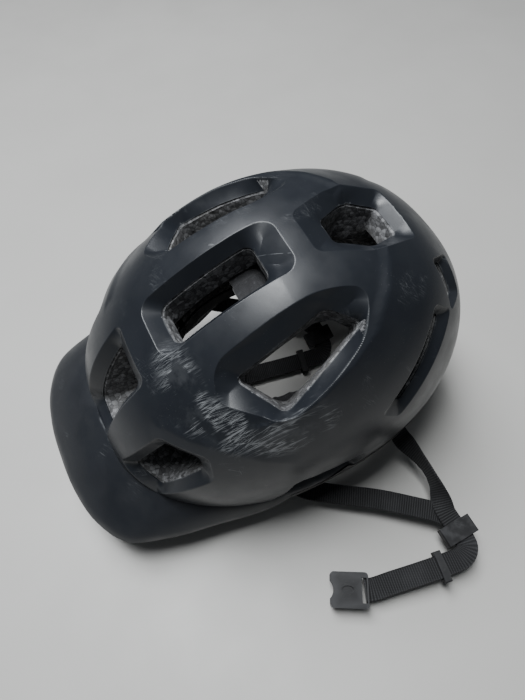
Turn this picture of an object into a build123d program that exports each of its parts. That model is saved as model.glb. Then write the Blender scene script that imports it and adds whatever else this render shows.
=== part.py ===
from build123d import *
from math import cos, sin, radians, hypot, pi
import os

os.makedirs("parts", exist_ok=True)

# A mountain-bike helmet, upright as worn: front at -Y, wearer's left at +X.
# The origin is the centre of the widest level of the dome, above the ears.

# ---- driving dimensions, millimetres ----
half_width = 110.0
crown_height = 116.0
front_reach = 145.0
rear_reach = 137.0
plan_front_reach = 150.0
blank_depth = 70.0
shell_wall = 1.4
joint_gap = 0.15
head_half_width = 77.0
head_half_length = 99.0
head_height = 88.0
webbing_width = 15.0
webbing_thickness = 1.6
webbing_clearance = 0.4
dial_radius = 17.0
pinion_pitch_radius = 5.0
band_thickness = 2.0


# ---- the dome ----
side_power = 2.4
top_power = 2.15
front_power = 1.5
rear_power = 2.1


def section_size(y, inset=0.0):
    """Half width and height of the dome's cross-section at station y."""
    if y < 0:
        plan = 1 - (-y / (plan_front_reach - inset)) ** side_power
        rise = 1 - (-y / (front_reach - inset)) ** front_power
    else:
        plan = 1 - (y / (rear_reach - inset)) ** rear_power
        rise = plan
    half = (half_width - inset) * max(plan, 0) ** (1 / 2.2)
    top = (crown_height - inset) * max(rise, 0) ** (1 / top_power)
    return half, top


def dome_height(x, y, inset=0.0):
    """Height of the dome over the point x, y."""
    half, top = section_size(y, inset)
    return top * max(1 - (abs(x) / half) ** side_power, 0) ** (1 / top_power)


def dome_section(y, inset):
    half, top = section_size(y, inset)
    angles = [180 * i / 8 for i in range(9)]
    arch = []
    for angle in angles:
        c, s = cos(radians(angle)), sin(radians(angle))
        sign = 1 if c >= 0 else -1
        arch.append((sign * half * abs(c) ** (2 / side_power), top * abs(s) ** (2 / top_power)))
    foot = 0.95 * half
    crown = Spline(*arch, tangents=((0, 1), (0, -1)))
    wall = Polyline((-half, 0), (-foot, -blank_depth), (foot, -blank_depth), (half, 0))
    station = Plane(origin=(0, y, 0), x_dir=(1, 0, 0), z_dir=(0, -1, 0))
    return station * make_face(crown + wall)


def dome(inset=0.0):
    """Solid dome with a straight skirt, made by lofting its cross-sections from front to rear."""
    front = [-0.988, -0.93, -0.8, -0.6, -0.35]
    rear = [0.0, 0.35, 0.62, 0.83, 0.94, 0.99]
    stations = [f * (front_reach - inset) for f in front] + [f * (rear_reach - inset) for f in rear]
    return loft([dome_section(y, inset) for y in stations])


def below_rim(drop=0.0):
    """Everything under the lower edge: low at the temples, arched over the ears, low at the nape."""
    edge = Spline((-200, -12 - drop), (-140, -16 - drop), (-62, -44 - drop), (15, -31 - drop),
                  (75, -41 - drop), (200, -52 - drop))
    sides = Polyline((200, -52 - drop), (200, -160), (-200, -160), (-200, -12 - drop))
    return extrude(Plane.YZ * make_face(edge + sides), 160, both=True)


# ---- vents ----
def tangent_plane(x, y):
    """Plane lying on the dome at x, y, its Z outward and its X towards the wearer's left."""
    step = 0.5
    z = dome_height(x, y)
    slope_x = (dome_height(x + step, y) - dome_height(x - step, y)) / (2 * step)
    slope_y = (dome_height(x, y + step) - dome_height(x, y - step)) / (2 * step)
    return Plane(origin=(x, y, z), x_dir=(1, 0, slope_x), z_dir=(-slope_x, -slope_y, 1))


def outline(points, radius, grow=0.0):
    face = make_face(Polyline(*points, close=True))
    if grow:
        face = offset(face, grow, kind=Kind.INTERSECTION)
    return fillet(face.vertices(), radius)


def vent(x, y, hole, recess, depth, grow=0.0, radius=5.0):
    """Recess of sloping sides that narrows to the hole, and the hole itself going inward."""
    plane = tangent_plane(x, y)
    mouth_height = 6.0
    mouth = plane.offset(mouth_height) * outline(recess, radius, grow + mouth_height * 0.6)
    floor = plane.offset(-depth - grow) * outline(hole, radius, grow)
    funnel = loft([mouth, floor], ruled=True)
    through = extrude(plane.offset(-depth + 2) * outline(hole, radius), -90)
    return funnel, through


def both_sides(points):
    """Outline of a central vent from its left half."""
    return points + [(-u, v) for u, v in reversed(points)]


vent_list = [
    # x, y, hole, recess, depth, mirrored
    (0, -33, both_sides([(12.5, -38), (12, 25)]), both_sides([(20, -49), (19, 45)]), 9, False),
    (0, -122, both_sides([(11, -36), (16, 21)]), both_sides([(19, -46), (23, 34)]), 8, False),
    (0, 68, both_sides([(9, -25), (19, -2), (12, 23)]),
     both_sides([(16, -43), (28, -8), (22, 29)]), 8, False),
    (60, -7, [(1, -38), (27, -21), (0, 35), (-13, 18)],
     [(-6, -55), (34, -28), (2, 48), (-27, 24)], 9, True),
    (62, -104, [(8, -43), (29, -35), (18, 12), (9, 14), (-6, -4)],
     [(3, -52), (36, -44), (26, 18), (8, 26), (-14, 0)], 7, True),
    (88, 48, [(-16, 33), (18, -14), (24, -7), (-10, 40)],
     [(-22, 36), (20, -26), (34, -12), (-8, 50)], 5, True),
    (48, 104, [(-14, -7), (14, -7), (11, 8), (-11, 8)],
     [(-18, -11), (18, -11), (14, 12), (-14, 12)], 5, True),
]


def cut_vents(grow=0.0):
    funnels, holes = [], []
    for x, y, hole, recess, depth, mirrored in vent_list:
        radius = 2.5 if depth < 6 else 4.0
        funnel, through = vent(x, y, hole, recess, depth, grow, radius)
        funnels.append(funnel)
        holes.append(through)
        if mirrored:
            funnels.append(mirror(funnel, Plane.YZ))
            holes.append(mirror(through, Plane.YZ))
    return funnels, holes


def temple_scoop(grow=0.0):
    """Wedge-shaped air scoop low on each flank, ahead of the ear."""
    side = [(-56, -24), (-38, 17), (6, 12), (-4, -22)]
    face = Plane.YZ.offset(half_width - 9 - grow) * outline(side, 5, grow)
    wedge = extrude(face, 30)
    return [wedge, mirror(wedge, Plane.YZ)]


# ---- helper solids ----
def head_form(inset=0.0):
    """The room for the head: half an ellipsoid standing on an upright oval column."""
    size = (head_half_width - inset, head_half_length - inset, head_height - inset)
    column = extrude(Ellipse(size[0], size[1]), -blank_depth - 30)
    return scale(Sphere(1), by=size) + column


def oval_ring(outer_x, outer_y, thickness, low, high):
    """Upright oval wall of one thickness between two heights."""
    wall = Ellipse(outer_x, outer_y) - Ellipse(outer_x - thickness, outer_y - thickness)
    return Pos(0, 0, low) * extrude(wall, high - low)


def block(low, high):
    size = [b - a for a, b in zip(low, high)]
    middle = [(a + b) / 2 for a, b in zip(low, high)]
    return Pos(*middle) * Box(*size)


def rod_along_y(radius, low, high, x=0.0, z=0.0):
    return Pos(x, (low + high) / 2, z) * Rot(90, 0, 0) * Cylinder(radius, high - low)


def rod_along_x(radius, low, high, y, z):
    return Pos((low + high) / 2, y, z) * Rot(0, 90, 0) * Cylinder(radius, high - low)


def side_prism(points, low_x, high_x):
    """Outline drawn from the side in Y and Z, spread between two X values."""
    face = make_face(Polyline(*points, close=True))
    return Pos(low_x, 0, 0) * extrude(Plane.YZ * face, high_x - low_x)


def join(pieces):
    whole = pieces[0]
    for piece in pieces[1:]:
        whole = whole + piece
    return whole


# ---- shell and liner ----
strap_anchor_x = 93.0
strap_anchor_y = (-40.0, 48.0)
strap_anchor_z = (-46.0, -43.0)
anchor_radius = 6.5
anchor_height = 12.0
band_pin_y = -62.0
band_pin_z = -10.0
band_pin_radius = 2.5
band_pin_reach = (49.5, 70.0)


def below_seam(drop=0.0):
    """Everything under the line where the upper shell meets the lower rim shell."""
    edge = Spline((-200, 4 - drop), (-120, -1 - drop), (-62, -27 - drop), (15, -14 - drop),
                  (75, -22 - drop), (200, -32 - drop))
    sides = Polyline((200, -32 - drop), (200, -160), (-200, -160), (-200, 4 - drop))
    return extrude(Plane.YZ * make_face(edge + sides), 160, both=True)


def shell_blank():
    funnels, holes = cut_vents()
    inner_funnels, _ = cut_vents(shell_wall)
    outer = dome() - (funnels + temple_scoop())
    inner = dome(shell_wall) - (inner_funnels + temple_scoop(shell_wall))
    return outer - inner - (holes + [below_rim()])


def strap_anchor_places(side):
    return [(side * strap_anchor_x, y, z) for y, z in zip(strap_anchor_y, strap_anchor_z)]


def eps_body():
    skin = shell_wall + joint_gap
    funnels, holes = cut_vents(skin)
    tools = funnels + holes + temple_scoop(skin) + [head_form(), below_rim(-1.5)]
    for side in (-1, 1):
        low, high = sorted((side * band_pin_reach[0], side * (band_pin_reach[1] + joint_gap)))
        tools.append(rod_along_x(band_pin_radius + joint_gap, low, high, band_pin_y, band_pin_z))
        for x, y, z in strap_anchor_places(side):
            bore = Cylinder(anchor_radius + joint_gap, 2 * anchor_height)
            tools.append(Pos(x, y, z) * bore)
    return dome(skin) - tools


visor_thickness = 2.6
visor_rise = 1.5
visor_gap = 0.5
visor_tuck = 6.0
visor_root = [(0, -147, 15), (30, -143, 12), (55, -133, 6), (72, -119, -1), (86, -101, -8),
              (96, -80, -16), (103, -58, -23)]
visor_edge = [(0, -188, -10), (30, -186.5, -10.5), (57, -180, -12), (79, -166, -14), (91, -138, -17),
              (98, -106, -21), (106, -58, -27)]


def visor_piece():
    """Peak that flares from the shell: a curved sheet from flank to flank, its edge lower."""
    columns = []
    for root, edge in zip(visor_root, visor_edge):
        root, edge = Vector(*root), Vector(*edge)
        hidden = root + (root - edge).normalized() * visor_tuck
        middle = (root + edge) / 2 + Vector(0, 0, visor_rise)
        columns.append([hidden, middle, edge])
    other_side = [[Vector(-v.X, v.Y, v.Z) for v in column] for column in reversed(columns[1:])]
    sheet = Face.make_surface_from_array_of_points(other_side + columns)
    return thicken(sheet, visor_thickness) - dome(-visor_gap) - dome()


# ---- pads ----
patch_thickness = 1.8
pad_gap = 0.2
pad_thickness = 5.5
crown_pad_face = 79.0


def lining_layer(inset, thickness):
    return head_form(inset) - head_form(inset + thickness)


def pad_pieces():
    layer = lining_layer(patch_thickness + 2 * pad_gap, pad_thickness)
    brow = layer & block((-80, -110, -19), (80, -71, 9))
    side = layer & block((40, -34, 16), (90, 36, 44))
    crown = head_form(patch_thickness + 2 * pad_gap) & block((-23, -24, crown_pad_face), (23, 24, 95))
    return brow, crown, side, mirror(side, Plane.YZ)


def hook_patches():
    """Hook-and-loop discs glued to the liner behind each pad."""
    layer = lining_layer(pad_gap, patch_thickness)
    places = [rod_along_y(8, -110, -60, 0, -5), rod_along_y(8, -110, -60, 28, -5),
              rod_along_y(8, -110, -60, -28, -5), Pos(0, 14, 80) * Cylinder(8, 40)]
    for side in (-1, 1):
        for y in (-18, 20):
            low, high = sorted((side * 55, side * 90))
            places.append(rod_along_x(8, low, high, y, 30))
    return [layer & place for place in places]


# ---- fit system: cradle, dial and headband ----
dial_z = -66.0
boss_radius = 20.0
shaft_radius = 3.0
bore_clearance = 0.06
band_oval = (72.0, 90.0)
cradle_oval = (74.8, 92.8)
cradle_wall = 2.0
gear_depth = (84.4, 86.8)
rack_depth = (84.6, 86.3)
rack_height = 4.0
rack_far_end = 6.0
post_places = [(x, z) for x in (-12, 12) for z in (-12.5, 12.5)]
gear_cover_face = 79.9
band_start = 21.0
tooth_count = 8
tooth_radius = 0.9
slot_half_width = 1.45
slot_depth = 1.4
tooth_pitch = 2 * pi * pinion_pitch_radius / tooth_count


def cradle_piece():
    outline_points = [(-42, -34), (42, -34), (42, -52), (21, -87), (-21, -87), (-42, -52)]
    face = make_face(Polyline(*outline_points, close=True))
    face = fillet(face.vertices(), 6)
    window = Pos(0, -41) * Rectangle(34, 8)
    face = face - fillet(window.vertices(), 3)
    prism = extrude(Plane.XZ * face, -130)
    wall = oval_ring(cradle_oval[0], cradle_oval[1], cradle_wall, -90, -30) & prism
    boss = rod_along_y(boss_radius, rack_depth[1] + 0.7, cradle_oval[1], 0, dial_z)
    bore = rod_along_y(shaft_radius + bore_clearance, 60, 120, 0, dial_z)
    posts = [rod_along_y(1.8, gear_cover_face, 88, x, dial_z + z) for x, z in post_places]
    return join([wall, boss] + posts) - bore


def gear_cover():
    plate = extrude(Plane.XZ.offset(-gear_cover_face) * RectangleRounded(30, 32, 5), 1.9)
    return Pos(0, 0, dial_z) * plate


def cradle_pad():
    pad = extrude(Plane.XZ.offset(-77.8) * RectangleRounded(32, 28, 8), 4.0)
    return Pos(0, 0, dial_z) * pad


def pinion():
    core = rod_along_y(pinion_pitch_radius - 0.3, gear_depth[0], gear_depth[1], 0, dial_z)
    shaft = rod_along_y(shaft_radius, 83.2, 99.0, 0, dial_z)
    teeth = []
    for i in range(tooth_count):
        turn = radians(90 + 360 / tooth_count * i)
        x = pinion_pitch_radius * cos(turn)
        z = dial_z + pinion_pitch_radius * sin(turn)
        teeth.append(rod_along_y(tooth_radius, gear_depth[0], gear_depth[1], x, z))
    return join([core, shaft] + teeth)


def dial_knob():
    body = rod_along_y(dial_radius, 93.4, 103.0, 0, dial_z)
    body = chamfer(body.edges().filter_by(GeomType.CIRCLE).sort_by(Axis.Y)[-1:], 1.5)
    grips = []
    for i in range(18):
        turn = radians(20 * i)
        x = (dial_radius + 1.1) * cos(turn)
        z = dial_z + (dial_radius + 1.1) * sin(turn)
        grips.append(rod_along_y(2.0, 90, 110, x, z))
    socket = rod_along_y(shaft_radius + 0.01, 90, 99.2, 0, dial_z)
    return body - (grips + [socket])


def band(side):
    """Half headband: a sloping strip of an oval wall, its toothed rack and its temple eye."""
    sign = 1 if side == "left" else -1
    if side == "left":
        tail = [(84, -62), (95, -62), (95, -57), (79.5, -57)]
    else:
        tail = [(80, -75), (95, -75), (95, -70), (84, -64)]
    strip = tail + [(60, -38), (-69, -4), (-69, -16), (60, -48)]
    low, high = sorted((sign * band_start, sign * 90))
    wall = oval_ring(band_oval[0], band_oval[1], band_thickness, -90, 10) & side_prism(strip, low, high)
    pitch_line = dial_z + sign * pinion_pitch_radius
    far = pitch_line + sign * rack_height
    ends = sorted((-sign * rack_far_end, sign * (band_start + 0.8)))
    levels = sorted((pitch_line, far))
    rack = block((ends[0], rack_depth[0], levels[0]), (ends[1], rack_depth[1], levels[1]))
    slots = []
    for i in range(-1, 6):
        x = sign * i * tooth_pitch
        slot_levels = sorted((pitch_line - sign, pitch_line + sign * slot_depth))
        slots.append(block((x - slot_half_width, 80, slot_levels[0]),
                           (x + slot_half_width, 90, slot_levels[1])))
    low_eye, high_eye = sorted((sign * 40, sign * 60))
    eye = rod_along_x(band_pin_radius + joint_gap, low_eye, high_eye, band_pin_y, band_pin_z)
    return wall + (rack - slots) - eye


def band_pins():
    pins = []
    for side in (-1, 1):
        low, high = sorted((side * band_pin_reach[0], side * band_pin_reach[1]))
        pins.append(rod_along_x(band_pin_radius, low, high, band_pin_y, band_pin_z))
    return pins


# ---- straps ----
strap_line_x = 97.0
strap_line_z = -48.7
strap_line_tilt = 3.9
strap_slope = {"left": -2.0, "right": 18.0}
layer_step = webbing_thickness + webbing_clearance


def strap_plane(side):
    """Plane through the strap anchors: X runs to the rear, Y away from the anchors."""
    start_x = strap_line_x if side == "left" else -strap_line_x
    slope = radians(strap_slope[side])
    tilt = radians(strap_line_tilt)
    rearward = Vector(0, cos(tilt), -sin(tilt))
    away = Vector(cos(slope), 0, -sin(slope))
    return Plane(origin=(start_x, 0, strap_line_z), x_dir=rearward, z_dir=rearward.cross(away))


def ribbon(side, path, layer):
    """Flat webbing along a path of the strap plane, one layer above another."""
    width = webbing_width
    pieces = []
    for (ax, ay), (bx, by) in zip(path, path[1:]):
        length = hypot(bx - ax, by - ay)
        px, py = -(by - ay) / length * width / 2, (bx - ax) / length * width / 2
        pieces.append(make_face(Polyline((ax + px, ay + py), (bx + px, by + py),
                                         (bx - px, by - py), (ax - px, ay - py), close=True)))
    for point in path[1:-1]:
        pieces.append(Pos(*point) * Circle(width / 2))
    face = join(pieces)
    plane = strap_plane(side).offset(-layer * layer_step)
    return extrude(plane * face, -webbing_thickness)


divider_at = (47.0, 84.0)
divider_half_size = (12.5, 6.5)
slot_clearance = 0.4
front_path = [(-33.5, 8), (8, 38), (41, 61), (47, 69), (47, 98), (36, 101), (-27.8, 88.6)]
rear_path = [(50, 5), (52, 50), (47, 70), (47, 98), (36, 101), (-27.8, 88.6)]
chin_start = (36.0, 101.0)
chin_end = (-31.0, 88.0)
keeper_at = 14.0
keeper_length = 5.0
buckle_way = (-0.87, -0.49)
straps_top = 2 * layer_step - webbing_clearance


def path_plane(side, start, way):
    """Plane whose X follows a direction of the strap plane and whose Z points up out of it."""
    base = strap_plane(side)
    origin = base.from_local_coords(Vector(start[0], start[1], -straps_top / 2))
    ahead = base.from_local_coords(Vector(start[0] + way[0], start[1] + way[1], -straps_top / 2))
    return Plane(origin=origin, x_dir=ahead - origin, z_dir=-base.z_dir)


def sleeve(length, half_width_out, half_height_out):
    """Block with a slot along X that both layers of webbing pass through."""
    slot_width = webbing_width + 2 * slot_clearance
    slot_height = straps_top + 2 * slot_clearance
    body = Box(length, 2 * half_width_out, 2 * half_height_out)
    body = fillet(body.edges().filter_by(Axis.X), 1.2)
    return body - Box(length + 2, slot_width, slot_height)


def strap_divider(side):
    return path_plane(side, divider_at, (0, 1)) * sleeve(2 * divider_half_size[1], divider_half_size[0], 4.0)


def keeper_ring(side):
    way = (chin_end[0] - chin_start[0], chin_end[1] - chin_start[1])
    length = hypot(*way)
    way = (way[0] / length, way[1] / length)
    start = (chin_start[0] + way[0] * keeper_at, chin_start[1] + way[1] * keeper_at)
    return path_plane(side, start, way) * sleeve(keeper_length, 10.5, 4.2)


buckle_length = 27.0
buckle_half_width = 11.5
buckle_half_height = 4.2
socket_half_width = 9.0
socket_half_height = 2.4
strap_slot = (1.8, 5.2)
prong_pivot = (10.5, 6.0)
prong_reach = 26.0
base_length = 9.0


def buckle_block(low, high, radius=0.0):
    body = block(low, high)
    return fillet(body.edges().filter_by(Axis.Z), radius) if radius else body


def buckle_socket():
    """Receiving half of the side-release buckle: strap bar, socket, side windows, top window."""
    h = buckle_half_height
    body = buckle_block((0.6, -buckle_half_width, -h), (buckle_length, buckle_half_width, h), 2.5)
    tools = [
        block((strap_slot[0], -8, -9), (strap_slot[1], 8, 9)),
        block((8, -socket_half_width, -socket_half_height), (40, socket_half_width, socket_half_height)),
        block((12, -20, -socket_half_height), (20, 20, socket_half_height)),
        Pos(buckle_length + 5, 0, 0) * Cylinder(7.5, 20),
        Pos(15, 0, h) * extrude(Ellipse(4.2, 2.6), 1.6, both=True),
    ]
    return path_plane("left", chin_end, buckle_way) * (body - tools)


def buckle_plug_base():
    """Strap bar and middle tongue of the plug half."""
    h = buckle_half_height
    base = buckle_block((0.6, -buckle_half_width, -h), (base_length, buckle_half_width, h), 2.0)
    tongue = block((base_length - 1, -1.5, -1.5), (23, 1.5, 1.5))
    slot = block((strap_slot[0], -8, -9), (strap_slot[1], 8, 9))
    return path_plane("right", chin_end, buckle_way) * (base + tongue - slot)


def buckle_prong(sign):
    """Sprung arm of the plug half, with the barbed head that is squeezed to release it."""
    thickness = socket_half_height - 0.3
    points = [(base_length + 0.4, 4.6), (prong_reach, 5.4), (prong_reach, 7.2), (20.2, 10.6),
              (19.2, 10.6), (18.4, 7.6), (base_length + 0.4, 7.6)]
    face = make_face(Polyline(*[(x, sign * y) for x, y in points], close=True))
    return path_plane("right", chin_end, buckle_way) * extrude(face, thickness, both=True)


def strap_anchor_caps():
    caps = []
    for side in (-1, 1):
        for x, y, z in strap_anchor_places(side):
            caps.append(Pos(x, y, z + anchor_height / 2 - 0.5) * Cylinder(anchor_radius, anchor_height - 1))
    return caps


# ---- nodes ----
def write(name, *solids):
    export_step(Compound(children=list(solids)) if len(solids) > 1 else solids[0], f"parts/{name}.step")


blank = shell_blank()
write("upper_shell", blank - below_seam())
write("lower_rim_shell", blank & below_seam(joint_gap))
write("visor_peak", visor_piece())
write("foam_liner", eps_body())

brow_pad, crown_pad, left_pad, right_pad = pad_pieces()
write("brow_pad", brow_pad)
write("crown_pad", crown_pad)
write("left_side_pad", left_pad)
write("right_side_pad", right_pad)
write("pad_hook_patches", *hook_patches())
write("strap_anchor_caps", *strap_anchor_caps())
write("headband_temple_pins", *band_pins())

write("rear_cradle", cradle_piece())
write("gear_cover", gear_cover())
write("cradle_nape_pad", cradle_pad())
write("fit_dial_knob", dial_knob())
write("fit_dial_pinion", pinion())

for side in ("left", "right"):
    write(f"{side}_headband", band(side))
    write(f"{side}_front_strap", ribbon(side, front_path, 0))
    write(f"{side}_rear_strap", ribbon(side, rear_path, 1))
    write(f"{side}_strap_divider", strap_divider(side))
    write(f"{side}_keeper_ring", keeper_ring(side))

write("buckle_socket", buckle_socket())
write("buckle_plug_base", buckle_plug_base())
write("buckle_plug_front_prong", buckle_prong(1))
write("buckle_plug_rear_prong", buckle_prong(-1))
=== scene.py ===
"""Looks of a mountain-bike helmet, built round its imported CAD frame.

Front (peak) is -Y, the wearer's left is +X, +Z is up. Shape functions work in millimetres.
"""
import math

import bmesh
import bpy
import numpy as np
from mathutils import Matrix, Vector


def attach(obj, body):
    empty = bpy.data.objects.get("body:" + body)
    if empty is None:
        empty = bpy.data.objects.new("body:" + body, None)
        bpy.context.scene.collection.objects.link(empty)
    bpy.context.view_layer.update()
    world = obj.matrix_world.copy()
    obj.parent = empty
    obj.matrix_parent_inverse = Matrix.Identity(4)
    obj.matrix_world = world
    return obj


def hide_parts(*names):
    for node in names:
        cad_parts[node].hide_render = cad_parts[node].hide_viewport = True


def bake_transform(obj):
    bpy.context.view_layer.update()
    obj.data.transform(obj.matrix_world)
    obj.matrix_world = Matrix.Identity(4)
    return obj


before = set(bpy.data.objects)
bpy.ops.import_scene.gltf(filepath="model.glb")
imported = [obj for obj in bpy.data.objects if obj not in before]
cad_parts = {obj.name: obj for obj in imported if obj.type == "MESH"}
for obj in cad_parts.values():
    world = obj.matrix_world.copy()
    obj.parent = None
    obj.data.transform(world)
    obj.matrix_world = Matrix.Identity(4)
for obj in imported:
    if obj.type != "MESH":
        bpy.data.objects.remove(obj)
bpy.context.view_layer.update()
MM = 0.001

# ---------------------------------------------------------------- the dome
HALF_WIDTH = 110.0
CROWN_HEIGHT = 116.0
FRONT_REACH = 145.0
REAR_REACH = 137.0
PLAN_FRONT_REACH = 150.0
SIDE_POWER = 2.4
TOP_POWER = 2.15
FRONT_POWER = 1.5
REAR_POWER = 2.1
PLAN_POWER = 2.2
SKIRT_DRAFT = 0.05 / 70.0
HEAD_SIZE = np.array([77.0, 99.0, 88.0])
FAR_OUT = 50.0
SOLVE_STEPS = 26
HEIGHT_STEPS = 40


def dome_level(points):
    """Below 1 inside the dome, above 1 outside, for an array of points in millimetres."""
    x, y, z = np.abs(points[:, 0]), points[:, 1], points[:, 2]
    front = y < 0
    plan_share = np.where(front, np.abs(y) / PLAN_FRONT_REACH, np.abs(y) / REAR_REACH)
    plan_power = np.where(front, SIDE_POWER, REAR_POWER)
    plan = 1 - plan_share ** plan_power
    rise_share = np.where(front, np.abs(y) / FRONT_REACH, np.abs(y) / REAR_REACH)
    rise_power = np.where(front, FRONT_POWER, REAR_POWER)
    rise = 1 - rise_share ** rise_power
    half = HALF_WIDTH * np.maximum(plan, 1e-9) ** (1 / PLAN_POWER)
    top = CROWN_HEIGHT * np.maximum(rise, 1e-9) ** (1 / TOP_POWER)
    over = (x / half) ** SIDE_POWER + (np.maximum(z, 0) / top) ** TOP_POWER
    over = np.where((plan <= 0) | (rise <= 0), FAR_OUT, over)
    wall = HALF_WIDTH * (1 + SKIRT_DRAFT * np.minimum(z, 0))
    under = (x / wall) ** PLAN_POWER + plan_share ** plan_power
    return np.where(z > 0, over, under)


def radial_solve(level, directions, near=15.0, far=230.0, origin=0.0):
    """Distance from the origin along each direction at which the level reaches 1."""
    low = np.full(len(directions), near)
    high = np.full(len(directions), far)
    for _ in range(SOLVE_STEPS):
        middle = (low + high) / 2
        inside = level(origin + directions * middle[:, None]) < 1
        low = np.where(inside, middle, low)
        high = np.where(inside, high, middle)
    return (low + high) / 2


def head_level(points):
    """The head room: an ellipsoid above an upright oval column."""
    q = points / HEAD_SIZE
    q[:, 2] = np.maximum(q[:, 2], 0)
    return (q ** 2).sum(axis=1)


def dome_points(directions):
    """Points where rays from the origin leave the dome."""
    return directions * radial_solve(dome_level, directions)[:, None]


def dome_height(x, y):
    """Height of the dome over one point, by halving."""
    low, high = 0.0, CROWN_HEIGHT + 1
    for _ in range(HEIGHT_STEPS):
        middle = (low + high) / 2
        if dome_level(np.array([[x, y, middle]]))[0] < 1:
            low = middle
        else:
            high = middle
    return low


# ---------------------------------------------------------------- vents
def tangent_frame(x, y):
    """Origin on the dome, its U towards the wearer's left, V to the rear, N outward."""
    step = 0.5
    slope_x = (dome_height(x + step, y) - dome_height(x - step, y)) / (2 * step)
    slope_y = (dome_height(x, y + step) - dome_height(x, y - step)) / (2 * step)
    normal = np.array([-slope_x, -slope_y, 1.0])
    normal /= np.linalg.norm(normal)
    across = np.array([1.0, 0.0, slope_x])
    across -= normal * (across @ normal)
    across /= np.linalg.norm(across)
    return np.array([x, y, dome_height(x, y)]), across, np.cross(normal, across), normal


def outline_distance(u, v, outline, radius):
    """Signed distance from a convex outline with round corners, below zero inside."""
    corners = np.array(outline, float)
    centre = corners.mean(axis=0)
    worst = np.full(u.shape, -1e9)
    spread = np.zeros(u.shape)
    for start, end in zip(corners, np.roll(corners, -1, axis=0)):
        edge = end - start
        outward = np.array([edge[1], -edge[0]]) / np.hypot(*edge)
        if (centre - start) @ outward > 0:
            outward = -outward
        distance = (u - start[0]) * outward[0] + (v - start[1]) * outward[1] + radius
        worst = np.maximum(worst, distance)
        spread += np.maximum(distance, 0) ** 2
    return np.where(worst > 0, np.sqrt(spread), worst) - radius


VENT_REACH = 60.0
NOT_HERE = 100.0


class Vent:
    """A hole at the bottom of a recess with sloping sides. A side vent has a mirror twin."""

    def __init__(self, place, hole, recess, depth, radius):
        self.origin, self.across, self.along, self.normal = tangent_frame(*place)
        self.hole = hole
        self.recess = recess
        self.depth = depth
        self.radius = radius
        self.central = place[0] == 0

    def distances(self, points):
        """Distances from the hole's edge and from the recess's edge, below zero inside."""
        local = points.copy()
        if not self.central:
            local[:, 0] = np.abs(local[:, 0])
        local = local - self.origin
        u, v, w = local @ self.across, local @ self.along, local @ self.normal
        away = np.where(np.abs(w) > VENT_REACH, NOT_HERE, 0.0)
        hole = outline_distance(u, v, self.hole, self.radius) + away
        recess = outline_distance(u, v, self.recess, self.radius * 1.5) + away
        return hole, recess


def mirrored_outline(points):
    """Outline of a central vent from its left half."""
    return points + [(-u, v) for u, v in reversed(points)]


VENTS = [
    Vent((0, -33), mirrored_outline([(14.5, -41), (14.5, 28)]),
         mirrored_outline([(21, -50), (20, 46)]), 9, 6.5),
    Vent((0, -122), mirrored_outline([(11, -36), (16, 21)]),
         mirrored_outline([(19, -46), (23, 34)]), 8, 4),
    Vent((0, 68), mirrored_outline([(9, -25), (19, -2), (12, 23)]),
         mirrored_outline([(16, -43), (28, -8), (22, 29)]), 8, 3),
    Vent((60, -7), [(-1, -43), (30, -25), (3, 38), (-15, 21)],
         [(-14, -50), (6, -57), (33, -27), (24, 10), (5, 39), (-15, 47), (-26, 26), (-23, -22)], 9, 5),
    Vent((62, -104), [(8, -43), (29, -35), (18, 12), (9, 14), (-6, -4)],
         [(3, -52), (36, -44), (26, 18), (8, 26), (-14, 0)], 7, 3),
    Vent((88, 48), [(-16, 33), (18, -14), (24, -7), (-10, 40)],
         [(-22, 36), (20, -26), (34, -12), (-8, 50)], 5, 2.5),
    Vent((48, 104), [(-14, -7), (14, -7), (11, 8), (-11, 8)],
         [(-18, -11), (18, -11), (14, 12), (-14, 12)], 5, 2.5),
]


def hole_distance(points):
    """Distance from the nearest hole's edge, below zero in a hole."""
    return np.min([vent.distances(points)[0] for vent in VENTS], axis=0)


def soft_step(value, low, high):
    """Smooth rise from 0 at one value to 1 at another."""
    share = np.clip((value - low) / (high - low), 0, 1)
    return share * share * (3 - 2 * share)


# ---------------------------------------------------------------- lower edge and seam
def curve_through(xs, zs):
    """Smooth height along the side of the helmet, from a few points front to rear."""
    def height(y):
        y = np.clip(y, xs[0], xs[-1])
        result = np.zeros_like(y)
        for i in range(len(xs) - 1):
            blend = soft_step(y, xs[i], xs[i + 1])
            here = (y >= xs[i]) & (y <= xs[i + 1])
            result = np.where(here, zs[i] + (zs[i + 1] - zs[i]) * blend, result)
        return result
    return height


rim_height = curve_through([-160, -62, 15, 137], [-15, -44, -31, -47])
seam_height = curve_through([-160, -62, 15, 137], [-2, -26, -15, -27])


SCOOP_OUTLINE = [(-64, -24), (-42, 20), (10, 13), (3, -18)]
SCOOP_RADIUS = 5
SCOOP_DEPTH = 13.0
SCOOP_SLOPE = 9
FLANK_START = 60


def scoop_distance(points):
    """Signed distance from the edge of the temple air scoops, seen from the side."""
    distance = outline_distance(points[:, 1], points[:, 2], SCOOP_OUTLINE, SCOOP_RADIUS)
    return distance + np.where(np.abs(points[:, 0]) < FLANK_START, NOT_HERE, 0.0)


def line_distance(points, path):
    """Distance in plan from a line on either flank, above zero on its outer side."""
    x, y = np.abs(points[:, 0]), points[:, 1]
    best = np.full(x.shape, 1e9)
    side = np.zeros(x.shape)
    for (ax, ay), (bx, by) in zip(path, path[1:]):
        run, rise = bx - ax, by - ay
        share = np.clip(((x - ax) * run + (y - ay) * rise) / (run ** 2 + rise ** 2), 0, 1)
        dx, dy = x - ax - share * run, y - ay - share * rise
        distance = np.hypot(dx, dy)
        turn = run * dy - rise * dx
        side = np.where(distance < best, np.sign(turn), side)
        best = np.minimum(best, distance)
    return best * side


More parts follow.
